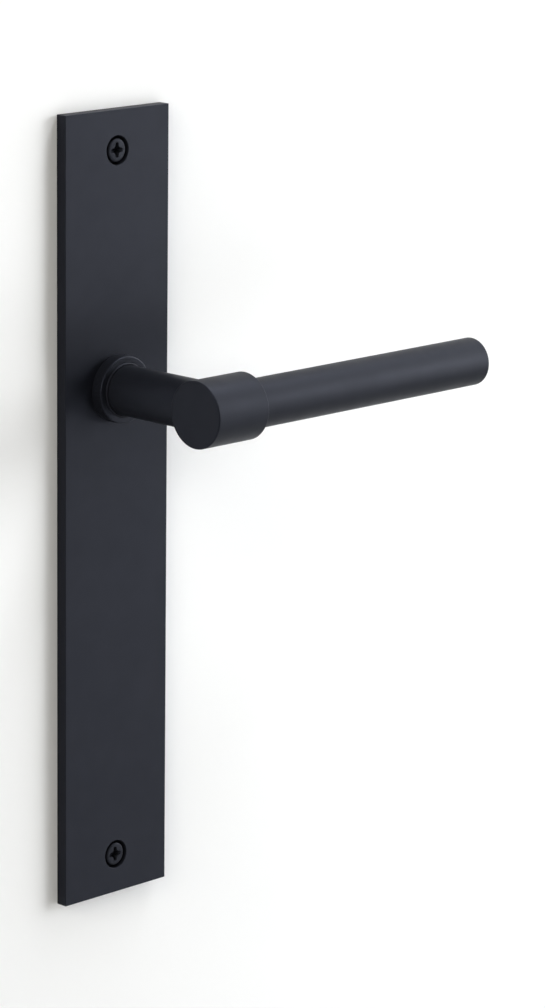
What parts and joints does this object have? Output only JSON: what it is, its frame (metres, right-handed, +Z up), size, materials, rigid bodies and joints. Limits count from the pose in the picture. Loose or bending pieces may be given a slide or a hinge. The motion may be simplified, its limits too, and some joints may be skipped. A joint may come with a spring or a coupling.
{
  "type": "door lever handle",
  "caption": "Sprung door lever on a long flat backplate: pressing the round bar lever down turns a square spindle through the lock, and a torsion spring lifts it back to level.",
  "frame": {"origin": "where the spindle's axis meets the back face of the plate, the face that lies on the door", "axes": "+X along the lever to its free end, +Y into the door along the spindle, +Z up along the plate; the hand is on the -Y side"},
  "size_m": [0.141, 0.1324, 0.26],
  "materials": {
    "black_coat": "matte",
    "black_screw": "satin",
    "nylon": "matte",
    "zinc_plate": "satin",
    "bare_steel": "satin",
    "spring_steel": "satin"
  },
  "bodies": {
    "plate_set": {"backplate": "black_coat", "collar": "black_coat", "bearing_bush": "nylon", "spring_housing": "zinc_plate", "housing_screw_1": "zinc_plate", "housing_screw_2": "zinc_plate", "housing_screw_3": "zinc_plate", "return_spring": "spring_steel", "fixing_screw_top": "black_screw", "fixing_screw_bottom": "black_screw"},
    "lever_set": {"ferrule": "black_coat", "neck": "black_coat", "neck_stud": "bare_steel", "grip": "black_coat", "grip_stud": "bare_steel", "spindle": "zinc_plate", "spindle_grub_screw": "bare_steel", "spring_driver": "bare_steel", "thrust_washer": "nylon", "spring_washer": "spring_steel", "circlip": "spring_steel"}
  },
  "joints": [
    {"name": "lever_turn", "type": "hinge", "parent": "plate_set", "child": "lever_set", "pos_m": [0, 0, 0], "axis": [0, 1, 0], "range_deg": [0, 40], "stiffness_Nm_per_rad": 0.7, "springref_deg": -25.78, "deforming": ["return_spring"]}
  ]
}
